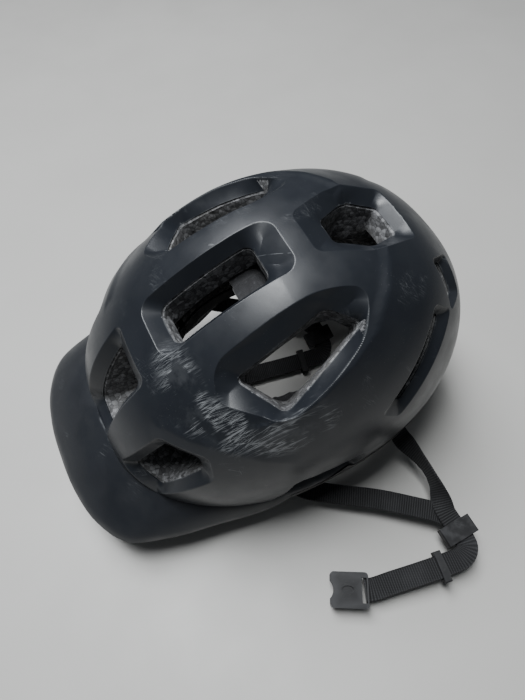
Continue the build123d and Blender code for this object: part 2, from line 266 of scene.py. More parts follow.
OUTER_RIDGE = [(24, 66), (34, 62), (50, 52), (66, 35), (76, 14), (82, -8), (84, -26), (80, -40)]
FRONT_CREASE = [(50, -96), (64, -86), (80, -70), (92, -54), (101, -36)]
RIDGE_HEIGHT = 1.8
CREASE_HEIGHT = 0.9
LOWEST_CREASE = 20


def ridge_lift(distance, outer_fall, inner_fall):
    """Height of a crease: a crisp line with a steeper inner side."""
    outer = np.clip(1 - distance / outer_fall, 0, 1) ** 1.5
    inner = np.clip(1 + distance / inner_fall, 0, 1) ** 1.3
    return np.where(distance > 0, outer, inner)


def sculpted(points):
    """Moves dome points by the recesses, scoops and crease lines."""
    moved = points.copy()
    for vent in VENTS:
        hole, recess = vent.distances(points)
        inside = recess < 0
        share = np.where(inside, np.clip(hole / np.maximum(hole - recess, 1e-6), 0, 1), 1.0)
        sink = vent.depth * (1 - share)
        sink = np.where(inside, sink, 0)
        normal = np.tile(vent.normal, (len(points), 1))
        if not vent.central:
            normal[:, 0] *= np.sign(points[:, 0])
        moved -= normal * sink[:, None]
    up = points[:, 2] > LOWEST_CREASE
    ridge = ridge_lift(line_distance(points, OUTER_RIDGE), 16.0, 6.0) * up
    crease = ridge_lift(-line_distance(points, FRONT_CREASE), 12.0, 5.0) * up
    outward = points / np.linalg.norm(points, axis=1)[:, None]
    moved += outward * (RIDGE_HEIGHT * ridge + CREASE_HEIGHT * crease)[:, None]
    scoop = scoop_distance(points)
    pull = SCOOP_DEPTH * soft_step(-scoop, 0, SCOOP_SLOPE)
    moved[:, 0] -= np.sign(points[:, 0]) * pull
    return moved


# ---------------------------------------------------------------- meshes from directions
def direction_grid(rounds, levels, lowest):
    """Directions from the crown down to an angle below the level, and triangles over them."""
    directions = [(0.0, 0.0, 1.0)]
    for i in range(1, levels + 1):
        tilt = math.radians(lowest) * i / levels
        for j in range(rounds):
            turn = 2 * math.pi * j / rounds
            across = math.sin(tilt)
            directions.append((across * math.cos(turn), across * math.sin(turn), math.cos(tilt)))
    triangles = []
    for j in range(rounds):
        triangles.append((0, 1 + j, 1 + (j + 1) % rounds))
    for i in range(levels - 1):
        upper, lower = 1 + i * rounds, 1 + (i + 1) * rounds
        for j in range(rounds):
            k = (j + 1) % rounds
            triangles.append((upper + j, lower + j, lower + k))
            triangles.append((upper + j, lower + k, upper + k))
    return np.array(directions), np.array(triangles)


def split_edges(triangles):
    """The different edges, and for each triangle the numbers of its three edges."""
    edges = np.vstack([triangles[:, [0, 1]], triangles[:, [1, 2]], triangles[:, [2, 0]]])
    unique, inverse = np.unique(np.sort(edges, axis=1), axis=0, return_inverse=True)
    return unique, inverse.reshape(3, -1).T


def refine(directions, triangles, wanted):
    """Splits every edge whose two ends are wanted, and the triangles beside it."""
    unique, inverse = split_edges(triangles)
    split = wanted[unique[:, 0]] & wanted[unique[:, 1]]
    middle = np.full(len(unique), -1)
    middle[split] = len(directions) + np.arange(split.sum())
    fresh = directions[unique[split, 0]] + directions[unique[split, 1]]
    fresh /= np.linalg.norm(fresh, axis=1)[:, None]
    result = []
    for (a, b, c), (ab, bc, ca) in zip(triangles.tolist(), middle[inverse].tolist()):
        count = (ab >= 0) + (bc >= 0) + (ca >= 0)
        if count == 0:
            result.append((a, b, c))
            continue
        if count == 3:
            result += [(a, ab, ca), (ab, b, bc), (ca, bc, c), (ab, bc, ca)]
            continue
        while ab < 0 or (count == 2 and bc < 0):
            a, b, c, ab, bc, ca = b, c, a, bc, ca, ab
        if count == 1:
            result += [(a, ab, c), (ab, b, c)]
        else:
            result += [(a, ab, c), (ab, bc, c), (ab, b, bc)]
    return np.vstack([directions, fresh]), np.array(result)


def clip(directions, triangles, keep):
    """Cuts the triangles along the line where the keep value crosses zero."""
    kept = keep > 0
    unique, inverse = split_edges(triangles)
    crossing = kept[unique[:, 0]] != kept[unique[:, 1]]
    cut = np.full(len(unique), -1)
    cut[crossing] = len(directions) + np.arange(crossing.sum())
    a, b = unique[crossing, 0], unique[crossing, 1]
    share = (keep[a] / (keep[a] - keep[b]))[:, None]
    fresh = directions[a] * (1 - share) + directions[b] * share
    fresh /= np.linalg.norm(fresh, axis=1)[:, None]
    result = []
    for (a, b, c), (ab, bc, ca) in zip(triangles.tolist(), cut[inverse].tolist()):
        count = int(kept[a]) + int(kept[b]) + int(kept[c])
        if count == 3:
            result.append((a, b, c))
        elif count == 1:
            while not kept[a]:
                a, b, c, ab, bc, ca = b, c, a, bc, ca, ab
            result.append((a, ab, ca))
        elif count == 2:
            while kept[a]:
                a, b, c, ab, bc, ca = b, c, a, bc, ca, ab
            result += [(ab, b, c), (ab, c, ca)]
    directions = np.vstack([directions, fresh])
    triangles = np.array(result)
    used = np.unique(triangles)
    new_index = np.full(len(directions), -1)
    new_index[used] = np.arange(len(used))
    return directions[used], new_index[triangles]


def border_edges(triangles):
    """Edges with a triangle on one side only, in that triangle's order."""
    edges = np.vstack([triangles[:, [0, 1]], triangles[:, [1, 2]], triangles[:, [2, 0]]])
    keys = np.sort(edges, axis=1)
    _, index, count = np.unique(keys, axis=0, return_index=True, return_counts=True)
    return edges[index[count == 1]]


def vertex_normals(points, triangles):
    """Outward normal at each point, averaged over its triangles."""
    a, b, c = (points[triangles[:, k]] for k in range(3))
    flat = np.cross(b - a, c - a)
    normals = np.zeros_like(points)
    for k in range(3):
        np.add.at(normals, triangles[:, k], flat)
    return normals / np.maximum(np.linalg.norm(normals, axis=1), 1e-12)[:, None]


def new_mesh(name, points, faces, material, sharp=55):
    """Smooth-shaded object from points in millimetres, with sharp edges above an angle."""
    mesh = bpy.data.meshes.new(name)
    mesh.from_pydata((np.asarray(points) * MM).tolist(), [], [list(map(int, face)) for face in faces])
    mesh.polygons.foreach_set("use_smooth", [True] * len(mesh.polygons))
    mesh.set_sharp_from_angle(angle=math.radians(sharp))
    mesh.materials.append(material)
    piece = bpy.data.objects.new(name, mesh)
    bpy.context.scene.collection.objects.link(piece)
    return piece


def add_layer(piece, name, values):
    """Stores one number a vertex for the material to read."""
    layer = piece.data.attributes.new(name, "FLOAT", "POINT")
    layer.data.foreach_set("value", np.asarray(values, np.float32))


ROUNDS, LEVELS = ((360, 150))
LOWEST_TILT = 125.0
FINE_REACHES = (7.0, 2.2)
COARSE_REACHES = (5.0,)
LOWEST_VENT = -10


def helmet_directions(fine):
    """Directions over the whole dome and their triangles, finer round the vents."""
    directions, triangles = direction_grid(ROUNDS, LEVELS, LOWEST_TILT)
    for reach in (FINE_REACHES if fine else COARSE_REACHES):
        points = dome_points(directions)
        near = np.zeros(len(points), bool)
        for vent in VENTS:
            hole, recess = vent.distances(points)
            near |= (recess < reach) & (hole > -reach)
        directions, triangles = refine(directions, triangles, near & (points[:, 2] > LOWEST_VENT))
    return directions, triangles


def wall_faces(edges, ring, layers, first):
    """Faces from the border through layers of ring points, and the last layer's numbers."""
    faces = []
    previous = {int(v): int(v) for v in ring}
    for layer in range(layers):
        current = {int(v): first + layer * len(ring) + i for i, v in enumerate(ring)}
        for a, b in edges.tolist():
            faces.append((previous[b], previous[a], current[a], current[b]))
        previous = current
    return faces, previous


def with_hem(points, triangles, inward, sinks):
    """Turns every open edge inward, so that the sheet shows its thickness."""
    edges = border_edges(triangles)
    ring = np.unique(edges)
    layers = [points] + [points[ring] + inward[ring] * sink for sink in sinks]
    walls, _ = wall_faces(edges, ring, len(sinks), len(points))
    return np.vstack(layers), triangles.tolist() + walls


SHEET_SINKS = (0.25, 1.3)
SEAM_HALF_GAP = 0.35
RIM_PROUD = 0.5


SCUFF_PATH = [(22, -76, 98), (50, -78, 85), (70, -66, 78), (84, -46, 70), (91, -18, 74)]
SCUFF_REACH = 21.0


def scuff_amount(points):
    """How badly the shell is scratched: along a band ahead of the left side vent."""
    best = np.full(len(points), 1e9)
    for start, end in zip(SCUFF_PATH, SCUFF_PATH[1:]):
        start, run = np.array(start, float), np.array(end, float) - start
        share = np.clip((points - start) @ run / (run @ run), 0, 1)
        best = np.minimum(best, np.linalg.norm(points - start - share[:, None] * run, axis=1))
    return np.clip(1 - best / SCUFF_REACH, 0, 1)


def sheet_piece(name, directions, triangles, material, proud=0.0):
    """Sculpted sheet with hemmed edges, and the wear and dust that its material reads."""
    points = sculpted(dome_points(directions))
    normals = vertex_normals(points, triangles)
    points = points + normals * proud
    every, faces = with_hem(points, triangles, -normals, SHEET_SINKS)
    piece = new_mesh(name, every, faces, material)
    add_layer(piece, "scuff", scuff_amount(every))
    low = soft_step(-every[:, 2], 0, 40)
    rear = soft_step(every[:, 1], 60, 140)
    add_layer(piece, "low", low * 0.8 + rear * 0.3)
    return piece


def shell_pieces():
    """Upper shell and lower rim, cut apart along the seam."""
    directions, triangles = helmet_directions(True)
    directions, triangles = clip(directions, triangles, hole_distance(dome_points(directions)))
    points = dome_points(directions)
    above = points[:, 2] - seam_height(points[:, 1])
    upper = clip(directions, triangles, above - SEAM_HALF_GAP)
    lower = clip(directions, triangles, -SEAM_HALF_GAP - above)
    points = dome_points(lower[0])
    lower = clip(*lower, points[:, 2] - rim_height(points[:, 1]))
    shell = sheet_piece("upper_shell_skin", *upper, SHELL)
    rim = sheet_piece("lower_rim_skin", *lower, RIM, RIM_PROUD)
    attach(shell, "helmet")
    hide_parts("upper_shell")
    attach(rim, "helmet")
    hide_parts("lower_rim_shell")


# ---------------------------------------------------------------- foam liner
FOAM_INSET = 1.7
CHANNEL_DEPTH = 12.0
LEAST_FOAM = 9.0
DRAW_FOCUS = -85.0
CHANNEL_LINES = (0.0, 50.0)
FOAM_WALL_STEPS = 6
HOLE_MARGIN = 0.3
RIM_MARGIN = 0.4


def channel_share(points):
    """Air channels inside the liner, running from front to rear under the vents."""
    share = np.zeros(len(points))
    for line in CHANNEL_LINES:
        share = np.maximum(share, soft_step(-np.abs(np.abs(points[:, 0]) - line), -13, -8))
    return share * soft_step(points[:, 2], 25, 50)


def foam_piece():
    """Liner between the shell and the head. Its tunnels open nearly straight upwards."""
    directions, triangles = helmet_directions(False)
    directions, triangles = clip(directions, triangles, hole_distance(dome_points(directions)) + HOLE_MARGIN)
    base = dome_points(directions)
    directions, triangles = clip(directions, triangles, base[:, 2] - rim_height(base[:, 1]) - RIM_MARGIN)
    outer = sculpted(dome_points(directions))
    outer *= (1 - FOAM_INSET / np.linalg.norm(outer, axis=1))[:, None]
    focus = np.zeros_like(outer)
    focus[:, 2] = np.where(outer[:, 2] < 0, outer[:, 2], DRAW_FOCUS * soft_step(outer[:, 2], 0, 60))
    outer_reach = np.linalg.norm(outer - focus, axis=1)
    outward = (outer - focus) / outer_reach[:, None]
    inner_reach = radial_solve(head_level, outward, origin=focus)
    share = channel_share(focus + outward * inner_reach[:, None])
    inner_reach = np.minimum(inner_reach + CHANNEL_DEPTH * share, outer_reach - LEAST_FOAM)
    inner = focus + outward * inner_reach[:, None]
    edges = border_edges(triangles)
    ring = np.unique(edges)
    points = [outer, inner]
    for step in range(1, FOAM_WALL_STEPS):
        share = step / FOAM_WALL_STEPS
        points.append(outer[ring] * (1 - share) + inner[ring] * share)
    faces = triangles.tolist() + (triangles[:, ::-1] + len(outer)).tolist()
    walls, last = wall_faces(edges, ring, FOAM_WALL_STEPS - 1, 2 * len(outer))
    faces += walls
    for a, b in edges.tolist():
        faces.append((last[b], last[a], a + len(outer), b + len(outer)))
    piece = new_mesh("foam_liner_body", np.vstack(points), faces, FOAM, 40)
    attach(piece, "helmet")
    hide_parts("foam_liner")


# ---------------------------------------------------------------- visor
VISOR_ROOT = [(0, -147, 15), (30, -143, 12), (55, -133, 6), (72, -119, -1), (86, -101, -8),
              (96, -80, -16), (103, -58, -23), (104, -42, -27)]
VISOR_EDGE = [(0, -188, -10), (30, -186.5, -10.5), (57, -180, -12), (79, -166, -14), (91, -138, -17),
              (98, -106, -21), (106, -60, -27), (105.5, -42, -29)]
VISOR_RISE = 3.0
VISOR_WALL = 2.6
VISOR_TUCK = 5
VISOR_COLUMNS = 141
VISOR_ROWS = 26
ROLL_START = 0.90
ROLL_DROP = 1.8


def curve_point(every, lengths, slopes, place):
    """Point on the smooth curve through a row of points, at one length along it."""
    i = min(max(int(np.searchsorted(lengths, place)) - 1, 0), len(every) - 2)
    gap = lengths[i + 1] - lengths[i]
    t = (place - lengths[i]) / gap
    return ((2 * t ** 3 - 3 * t ** 2 + 1) * every[i] + (t ** 3 - 2 * t ** 2 + t) * gap * slopes[i]
            + (3 * t ** 2 - 2 * t ** 3) * every[i + 1] + (t ** 3 - t ** 2) * gap * slopes[i + 1])


def smooth_row(points, count):
    """Evenly spread points on a smooth curve through a few, on both sides of the middle."""
    every = np.array([(-x, y, z) for x, y, z in reversed(points[1:])] + points, float)
    lengths = np.concatenate([[0], np.cumsum(np.linalg.norm(np.diff(every, axis=0), axis=1))])
    slopes = np.gradient(every, lengths, axis=0)
    places = np.linspace(0, lengths[-1], count)
    return np.array([curve_point(every, lengths, slopes, place) for place in places])


def visor_piece():
    """Peak that flares from the shell, from flank to flank, with a rolled front edge."""
    root = smooth_row(VISOR_ROOT, VISOR_COLUMNS)
    edge = smooth_row(VISOR_EDGE, VISOR_COLUMNS)
    out = edge - root
    out /= np.linalg.norm(out, axis=1)[:, None]
    start = root - out * VISOR_TUCK
    points = []
    for i in range(VISOR_COLUMNS):
        for j in range(VISOR_ROWS + 1):
            part = j / VISOR_ROWS
            point = start[i] * (1 - part) + edge[i] * part
            point[2] += VISOR_RISE * math.sin(math.pi * part) ** 0.8
            point[2] -= ROLL_DROP * max(0.0, (part - ROLL_START) / (1 - ROLL_START)) ** 2
            points.append(point)
    faces = []
    for i in range(VISOR_COLUMNS - 1):
        for j in range(VISOR_ROWS):
            a = i * (VISOR_ROWS + 1) + j
            faces.append((a, a + 1, a + VISOR_ROWS + 2, a + VISOR_ROWS + 1))
    piece = new_mesh("visor_peak_sheet", points, faces, VISOR, 60)
    wall = piece.modifiers.new("wall", "SOLIDIFY")
    wall.thickness = VISOR_WALL * MM
    wall.offset = -1
    round_edges(piece, 0.9, 3)
    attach(piece, "helmet")
    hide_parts("visor_peak")


def round_edges(piece, width, segments=2, angle=35):
    """Rounds every edge sharper than an angle by a width in millimetres."""
    bevel = piece.modifiers.new("rounded_edges", "BEVEL")
    bevel.width = width * MM
    bevel.segments = segments
    bevel.limit_method = "ANGLE"
    bevel.angle_limit = math.radians(angle)
    bevel.harden_normals = True


# ---------------------------------------------------------------- materials
class Surface:
    """Builds one node material: colour, roughness and bump from layers of noise."""

    def __init__(self, name):
        self.material = bpy.data.materials.new(name)
        self.material.use_nodes = True
        self.tree = self.material.node_tree
        self.shader = self.tree.nodes["Principled BSDF"]
        self.height = None
        self.place = self.node("ShaderNodeTexCoord").outputs["Object"]

    def node(self, kind, **settings):
        made = self.tree.nodes.new(kind)
        for key, value in settings.items():
            setattr(made, key, value)
        return made

    def link(self, start, end):
        if isinstance(start, (int, float)):
            end.default_value = start
        elif isinstance(start, (tuple, list)):
            end.default_value = tuple(start) + (1.0,) * (4 - len(start))
        else:
            self.tree.links.new(start, end)

    def math(self, operation, a, b=0.0, c=None):
        made = self.node("ShaderNodeMath", operation=operation)
        self.link(a, made.inputs[0])
        self.link(b, made.inputs[1])
        if c is not None:
            self.link(c, made.inputs[2])
        return made.outputs[0]

    def ramp(self, value, low, high, low_out=0.0, high_out=1.0):
        made = self.node("ShaderNodeMapRange")
        made.interpolation_type = "SMOOTHSTEP"
        for socket, amount in zip(made.inputs, (value, low, high, low_out, high_out)):
            self.link(amount, socket)
        return made.outputs[0]

    def stretched(self, scale, turn=(0.0, 0.0, 0.0)):
        made = self.node("ShaderNodeMapping")
        made.inputs["Scale"].default_value = scale
        made.inputs["Rotation"].default_value = turn
        self.link(self.place, made.inputs["Vector"])
        return made.outputs[0]

    def noise(self, scale, detail=4.0, rough=0.55, place=None):
        made = self.node("ShaderNodeTexNoise")
        self.link(place or self.place, made.inputs["Vector"])
        made.inputs["Scale"].default_value = scale
        made.inputs["Detail"].default_value = detail
        made.inputs["Roughness"].default_value = rough
        return made.outputs["Fac"]

    def cells(self, scale, feature="F1", place=None, jitter=1.0):
        made = self.node("ShaderNodeTexVoronoi", feature=feature)
        self.link(place or self.place, made.inputs["Vector"])
        made.inputs["Scale"].default_value = scale
        made.inputs["Randomness"].default_value = jitter
        return made

    def stored(self, name):
        return self.node("ShaderNodeAttribute", attribute_name=name).outputs["Fac"]

    def mix(self, share, a, b):
        made = self.node("ShaderNodeMix", data_type="RGBA")
        self.link(share, made.inputs["Factor"])
        self.link(a, made.inputs["A"])
        self.link(b, made.inputs["B"])
        return made.outputs["Result"]

    def bump(self, height, depth, strength=1.0):
        made = self.node("ShaderNodeBump")
        made.inputs["Distance"].default_value = depth
        made.inputs["Strength"].default_value = strength
        self.link(height, made.inputs["Height"])
        if self.height is not None:
            self.link(self.height, made.inputs["Normal"])
        self.height = made.outputs[0]

    def finish(self, colour, roughness, **extra):
        self.link(colour, self.shader.inputs["Base Color"])
        self.link(roughness, self.shader.inputs["Roughness"])
        for key, value in extra.items():
            self.link(value, self.shader.inputs[key.replace("_", " ").title()])
        if self.height is not None:
            self.link(self.height, self.shader.inputs["Normal"])
        return self.material

    def edges(self, low=0.5, high=0.62):
        """Share of edge wear, from how sharply the surface turns."""
        pointy = self.node("ShaderNodeNewGeometry").outputs["Pointiness"]
        return self.ramp(pointy, low, high)

    def scratches(self, scale, turn, width, amount):
        """Thin straight scratches along one direction, in patches."""
        turned = self.node("ShaderNodeMapping")
        turned.inputs["Rotation"].default_value = turn
        self.link(self.place, turned.inputs["Vector"])
        long = self.node("ShaderNodeMapping")
        long.inputs["Scale"].default_value = (scale, scale * 0.03, scale * 0.03)
        self.link(turned.outputs[0], long.inputs["Vector"])
        lines = self.noise(1.0, 2.0, 0.5, long.outputs[0])
        thin = self.ramp(self.math("ABSOLUTE", self.math("SUBTRACT", lines, 0.5)), 0.0, width, 1.0, 0.0)
        patch = self.ramp(self.noise(38.0, 3.0), 0.56 - amount, 0.66 - amount)
        return self.math("MULTIPLY", thin, patch)


def shell_material():
    s = Surface("shell_polycarbonate")
    cloud = s.noise(22.0, 5.0, 0.6)
    colour = s.mix(cloud, (0.0085, 0.0100, 0.0130), (0.0150, 0.0175, 0.0225))
    worn = s.math("MULTIPLY", s.stored("scuff"), s.ramp(s.noise(60.0, 6.0, 0.65), 0.46, 0.66))
    lines = s.scratches(900.0, (0.3, 0.2, 0.5), 0.012, -0.02)
    more_lines = s.scratches(700.0, (0.1, 0.4, 1.3), 0.010, -0.03)
    lines = s.math("MAXIMUM", lines, more_lines)
    heavy = s.math("MAXIMUM", s.scratches(520.0, (0.0, 0.0, 0.10), 0.030, 0.10),
                   s.scratches(760.0, (0.0, 0.0, 0.32), 0.028, 0.08))
    heavy = s.math("MAXIMUM", heavy, s.scratches(640.0, (0.0, 0.0, -0.12), 0.022, 0.06))
    patchy = s.math("ADD", s.stored("scuff"), s.math("MULTIPLY", s.noise(34.0, 3.0), 0.9))
    heavy = s.math("MULTIPLY", heavy, s.ramp(patchy, 0.62, 1.15))
    wear = s.math("MAXIMUM", s.math("MULTIPLY", worn, 0.08), s.math("MULTIPLY", heavy, 0.65))
    wear = s.math("MAXIMUM", wear, s.math("MULTIPLY", lines, 0.22))
    edge = s.math("MULTIPLY", s.edges(0.515, 0.60), s.ramp(s.noise(80.0, 5.0), 0.35, 0.7))
    wear = s.math("MAXIMUM", wear, s.math("MULTIPLY", edge, 0.45))
    colour = s.mix(wear, colour, (0.30, 0.31, 0.32))
    dust = s.math("MULTIPLY", s.stored("low"), s.ramp(s.noise(30.0, 5.0), 0.3, 0.75))
    colour = s.mix(s.math("MULTIPLY", dust, 0.25), colour, (0.10, 0.097, 0.09))
    specks = s.ramp(s.cells(620.0).outputs["Distance"], 0.05, 0.10, 0.5, 0.0)
    specks = s.math("MULTIPLY", specks, s.ramp(s.noise(45.0, 4.0), 0.55, 0.62))
    colour = s.mix(specks, colour, (0.22, 0.22, 0.215))
    roughness = s.ramp(s.noise(55.0, 4.0), 0.3, 0.7, 0.30, 0.40)
    roughness = s.math("ADD", roughness, s.math("MULTIPLY", wear, 0.3))
    s.bump(s.noise(2600.0, 3.0), 0.00004, 0.6)
    s.bump(s.math("MULTIPLY", wear, -1.0), 0.00006, 0.8)
    s.shader.inputs["Specular IOR Level"].default_value = 0.42
    return s.finish(colour, roughness)


def rim_material():
    s = Surface("rim_polycarbonate")
    cloud = s.noise(26.0, 5.0, 0.65)
    colour = s.mix(cloud, (0.018, 0.018, 0.020), (0.045, 0.044, 0.043))
    dust = s.ramp(s.noise(70.0, 6.0, 0.7), 0.42, 0.70)
    colour = s.mix(s.math("MULTIPLY", dust, 0.6), colour, (0.22, 0.21, 0.19))
    lines = s.scratches(800.0, (0.2, 0.5, 0.2), 0.014, 0.10)
    colour = s.mix(s.math("MULTIPLY", lines, 0.5), colour, (0.30, 0.30, 0.29))
    edge = s.math("MULTIPLY", s.edges(0.52, 0.62), s.ramp(s.noise(90.0, 5.0), 0.4, 0.7))
    colour = s.mix(s.math("MULTIPLY", edge, 0.6), colour, (0.33, 0.33, 0.32))
    roughness = s.ramp(s.noise(80.0, 4.0), 0.3, 0.7, 0.48, 0.68)
    s.bump(s.noise(1500.0, 4.0), 0.00008, 0.7)
    s.bump(s.noise(260.0, 5.0), 0.0002, 0.4)
    return s.finish(colour, roughness)


def visor_material():
    s = Surface("visor_plastic")
    cloud = s.noise(24.0, 5.0)
    colour = s.mix(cloud, (0.0085, 0.0098, 0.0125), (0.0145, 0.0165, 0.0210))
    lines = s.scratches(760.0, (0.1, 0.1, 1.1), 0.012, -0.02)
    edge = s.math("MULTIPLY", s.edges(0.52, 0.6), s.ramp(s.noise(90.0, 5.0), 0.4, 0.7))
    wear = s.math("MAXIMUM", s.math("MULTIPLY", lines, 0.22), s.math("MULTIPLY", edge, 0.5))
    colour = s.mix(wear, colour, (0.30, 0.31, 0.32))
    roughness = s.ramp(s.noise(60.0, 4.0), 0.3, 0.7, 0.36, 0.50)
    s.bump(s.noise(2400.0, 3.0), 0.00005, 0.7)
    return s.finish(colour, roughness)


def foam_material():
    s = Surface("eps_foam")
    bead = s.cells(330.0, "SMOOTH_F1")
    gap = s.cells(330.0, "DISTANCE_TO_EDGE").outputs["Distance"]
    tint = s.cells(330.0).outputs["Color"]
    value = s.node("ShaderNodeSeparateColor")
    s.link(tint, value.inputs[0])
    colour = s.mix(value.outputs[0], (0.045, 0.045, 0.047), (0.180, 0.180, 0.185))
    colour = s.mix(s.ramp(gap, 0.0, 0.10, 0.75, 0.0), colour, (0.012, 0.012, 0.013))
    bright = s.ramp(value.outputs[1], 0.82, 0.95)
    colour = s.mix(s.math("MULTIPLY", bright, 0.5), colour, (0.30, 0.30, 0.31))
    dust = s.ramp(s.noise(30.0, 5.0), 0.45, 0.75)
    colour = s.mix(s.math("MULTIPLY", dust, 0.25), colour, (0.20, 0.19, 0.17))
    s.bump(bead.outputs["Distance"], -0.0007, 0.9)
    s.bump(s.noise(1400.0, 3.0), 0.0001, 0.5)
    return s.finish(colour, s.ramp(bead.outputs["Distance"], 0.0, 0.6, 0.62, 0.9))


def fabric_material():
    s = Surface("pad_fabric")
    loops = s.cells(900.0, jitter=0.35)
    fuzz = s.noise(420.0, 5.0, 0.7)
    colour = s.mix(loops.outputs["Distance"], (0.030, 0.030, 0.033), (0.008, 0.008, 0.009))
    colour = s.mix(s.ramp(fuzz, 0.5, 0.8), colour, (0.060, 0.060, 0.064))
    seam = s.stored("seam")
    colour = s.mix(s.math("MULTIPLY", seam, 0.7), colour, (0.045, 0.045, 0.048))
    s.bump(loops.outputs["Distance"], -0.0003, 0.8)
    s.bump(fuzz, 0.0003, 0.4)
    return s.finish(colour, 0.92, sheen_weight=0.35, sheen_roughness=0.5)


def hook_material():
    s = Surface("hook_tape")
    hooks = s.cells(1300.0, jitter=0.2)
    colour = s.mix(hooks.outputs["Distance"], (0.070, 0.070, 0.072), (0.010, 0.010, 0.011))
    s.bump(hooks.outputs["Distance"], -0.0006, 1.0)
    return s.finish(colour, s.ramp(s.noise(90.0), 0.3, 0.7, 0.55, 0.75))


def nylon_material(name, low, high, rough_low=0.55, rough_high=0.72):
    s = Surface(name)
    colour = s.mix(s.noise(60.0, 5.0, 0.6), low, high)
    edge = s.math("MULTIPLY", s.edges(0.53, 0.64), s.ramp(s.noise(160.0, 5.0), 0.4, 0.7))
    colour = s.mix(s.math("MULTIPLY", edge, 0.3), colour, (0.11, 0.11, 0.115))
    lines = s.scratches(1500.0, (0.4, 0.2, 0.7), 0.012, 0.08)
    colour = s.mix(s.math("MULTIPLY", lines, 0.35), colour, (0.18, 0.18, 0.185))
    s.bump(s.noise(2200.0, 4.0), 0.00008, 0.7)
    s.shader.inputs["Specular IOR Level"].default_value = 0.3
    return s.finish(colour, s.ramp(s.noise(140.0, 4.0), 0.3, 0.7, rough_low, rough_high))


def rubber_material(name):
    s = Surface(name)
    colour = s.mix(s.noise(90.0, 5.0, 0.6), (0.006, 0.006, 0.007), (0.016, 0.016, 0.017))
    dust = s.ramp(s.noise(240.0, 6.0, 0.7), 0.55, 0.75)
    colour = s.mix(s.math("MULTIPLY", dust, 0.35), colour, (0.10, 0.097, 0.09))
    s.bump(s.noise(1800.0, 4.0), 0.0001, 0.8)
    return s.finish(colour, s.ramp(s.noise(120.0), 0.3, 0.7, 0.62, 0.82))


def webbing_material():
    """Ribbed nylon webbing. Its weave follows two lengths stored on the mesh."""
    s = Surface("strap_webbing")
    along = s.stored("along")
    across = s.stored("across")
    rib = s.math("SINE", s.math("MULTIPLY", along, 2 * math.pi / 0.0017))
    strand = s.math("SINE", s.math("ADD", s.math("MULTIPLY", across, 2 * math.pi / 0.0011),
                                   s.math("MULTIPLY", along, math.pi / 0.0017)))
    weave = s.math("MULTIPLY_ADD", rib, 0.35, s.math("MULTIPLY_ADD", strand, 0.18, 0.5))
    colour = s.mix(weave, (0.002, 0.002, 0.002), (0.022, 0.022, 0.024))
    faded = s.ramp(s.noise(45.0, 5.0), 0.45, 0.75)
    colour = s.mix(s.math("MULTIPLY", faded, 0.2), colour, (0.060, 0.060, 0.065))
    s.bump(weave, 0.00022, 0.9)
    s.bump(s.noise(2600.0, 3.0), 0.00006, 0.6)
    s.shader.inputs["Specular IOR Level"].default_value = 0.3
    return s.finish(colour, s.ramp(weave, 0.2, 0.9, 0.85, 0.6), sheen_weight=0.05)


def gloss_material():
    s = Surface("buckle_acetal")
    colour = s.mix(s.noise(70.0, 4.0), (0.004, 0.004, 0.005), (0.008, 0.008, 0.009))
    lines = s.scratches(1800.0, (0.3, 0.6, 0.4), 0.012, 0.10)
    edge = s.math("MULTIPLY", s.edges(0.53, 0.66), 0.3)
    wear = s.math("MAXIMUM", s.math("MULTIPLY", lines, 0.25), edge)
    colour = s.mix(wear, colour, (0.12, 0.12, 0.125))
    roughness = s.ramp(s.noise(160.0, 4.0), 0.3, 0.7, 0.30, 0.42)
    roughness = s.math("ADD", roughness, s.math("MULTIPLY", wear, 0.3))
    s.bump(s.noise(320.0, 3.0), 0.00004, 0.5)
    s.shader.inputs["Specular IOR Level"].default_value = 0.2
    return s.finish(colour, roughness)


def gear_material():
    s = Surface("acetal_gear")
    colour = s.mix(s.noise(120.0, 4.0), (0.33, 0.33, 0.34), (0.42, 0.42, 0.43))
    s.bump(s.noise(1500.0, 4.0), 0.00006, 0.6)
    return s.finish(colour, s.ramp(s.noise(200.0), 0.3, 0.7, 0.32, 0.45))


SHELL = shell_material()
RIM = rim_material()
VISOR = visor_material()
FOAM = foam_material()
FABRIC = fabric_material()
HOOKS = hook_material()
NYLON = nylon_material("black_nylon", (0.005, 0.005, 0.006), (0.014, 0.014, 0.015))
DIAL = rubber_material("dial_rubber")
KEEPER = rubber_material("keeper_rubber")
WEBBING = webbing_material()
GLOSS = gloss_material()
GEAR = gear_material()


# ---------------------------------------------------------------- straps
STRAP_LINE = (97.0, -48.7)
LINE_TILT = math.radians(3.9)
SLOPE = {"left": -2.0, "right": 18.0}
STRAP_WIDTH = 15.0
STRAP_WALL = 1.5
LAYER_STEP = 2.0
FIRST_LAYER = 0.8
RIB_PITCH = 1.7
RIB_HEIGHT = 0.10
# Each path point: along the strap line, away from it, lift above the plane, twist in degrees.
FRONT_PATH = [(-40, -3, 0, 0), (-36, 6, 0, 0), (-15, 22, 0.3, 0), (8, 38, 0.6, 4), (30, 56, 0.2, 0),
              (43, 68, 0, 0), (47, 76, 0, 0), (47, 94, 0, 0), (40, 99.5, 0, 0), (26, 98.5, 0.8, 6),
              (6, 95, 1.2, 10), (-14, 91, 0.4, 4), (-27.8, 88.4, 0, 0), (-33.5, 86.0, 0, 0)]
REAR_PATH = [(49, -5, 7.5, 0), (49.5, 0, 5, 0), (50.5, 8, 0.8, 12), (52, 22, 2.5, 60),
             (52.5, 36, 4.0, 80), (51.5, 50, 3.0, 70), (48.5, 62, 0.8, 25), (47, 70, 0, 0),
             (47, 94, 0, 0), (40, 99.5, 0, 0), (26, 98.5, 0.6, 0), (6, 95, 0.8, 0),
             (-14, 91, 0.3, 0), (-27.8, 88.4, 0, 0), (-33.5, 86.0, 0, 0)]
